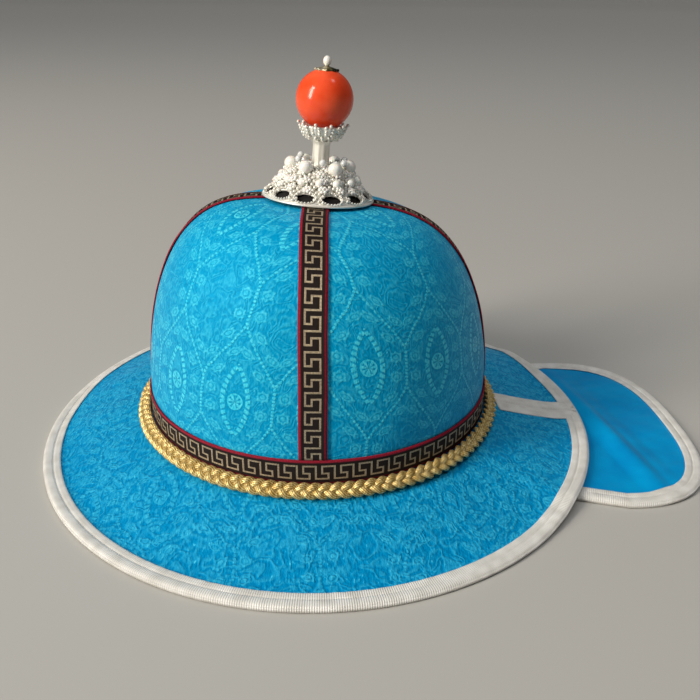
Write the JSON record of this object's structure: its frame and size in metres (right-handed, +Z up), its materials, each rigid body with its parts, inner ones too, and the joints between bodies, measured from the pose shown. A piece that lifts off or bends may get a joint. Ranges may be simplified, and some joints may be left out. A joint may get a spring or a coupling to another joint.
{
  "type": "mongolian summer hat",
  "caption": "Domed mongolian hat of turquoise brocade with key ribbon, a silver-bound sloping brim slit at the back, a neck flap and a coral and pearl finial.",
  "frame": {"origin": "middle of the hat's box in plan, on the surface that the brim and the flap rest on", "axes": "+X to the back of the hat, where the flap lies, +Y to the wearer's right, +Z up"},
  "size_m": [0.383, 0.322, 0.2149],
  "materials": {
    "brocade": "turquoise damask brocade with a silky sheen, tone on tone",
    "satin": "plain turquoise satin",
    "key_ribbon": "dark woven ribbon with a silver key pattern and red edges",
    "gold_cord": "plaited metallic gold cord",
    "silver_ribbon": "silver-white ribbed satin ribbon",
    "silver": "bright silver-plated filigree",
    "pearl": "white pearl with a soft lustre",
    "coral": "polished orange-red coral bead"
  },
  "bodies": {
    "root": {"crown_panel_back_left": "brocade", "crown_panel_back_right": "brocade", "crown_panel_front_right": "brocade", "crown_panel_front_left": "brocade", "seam_ribbon_left": "key_ribbon", "seam_ribbon_back": "key_ribbon", "seam_ribbon_right": "key_ribbon", "seam_ribbon_front": "key_ribbon", "crown_band": "key_ribbon", "gold_braid": "gold_cord", "brim": "brocade", "brim_binding": "silver_ribbon", "back_flap": "satin", "flap_binding": "silver_ribbon", "finial_pin": "silver", "finial_base": "silver", "bead_field": "pearl", "heap_pearl_1": "pearl", "heap_pearl_2": "pearl", "heap_pearl_3": "pearl", "heap_pearl_4": "pearl", "heap_pearl_5": "pearl", "heap_pearl_6": "pearl", "finial_post": "silver", "finial_cup": "silver", "coral_ball": "coral", "ball_cap": "silver", "top_pearl": "pearl"}
  },
  "joints": []
}
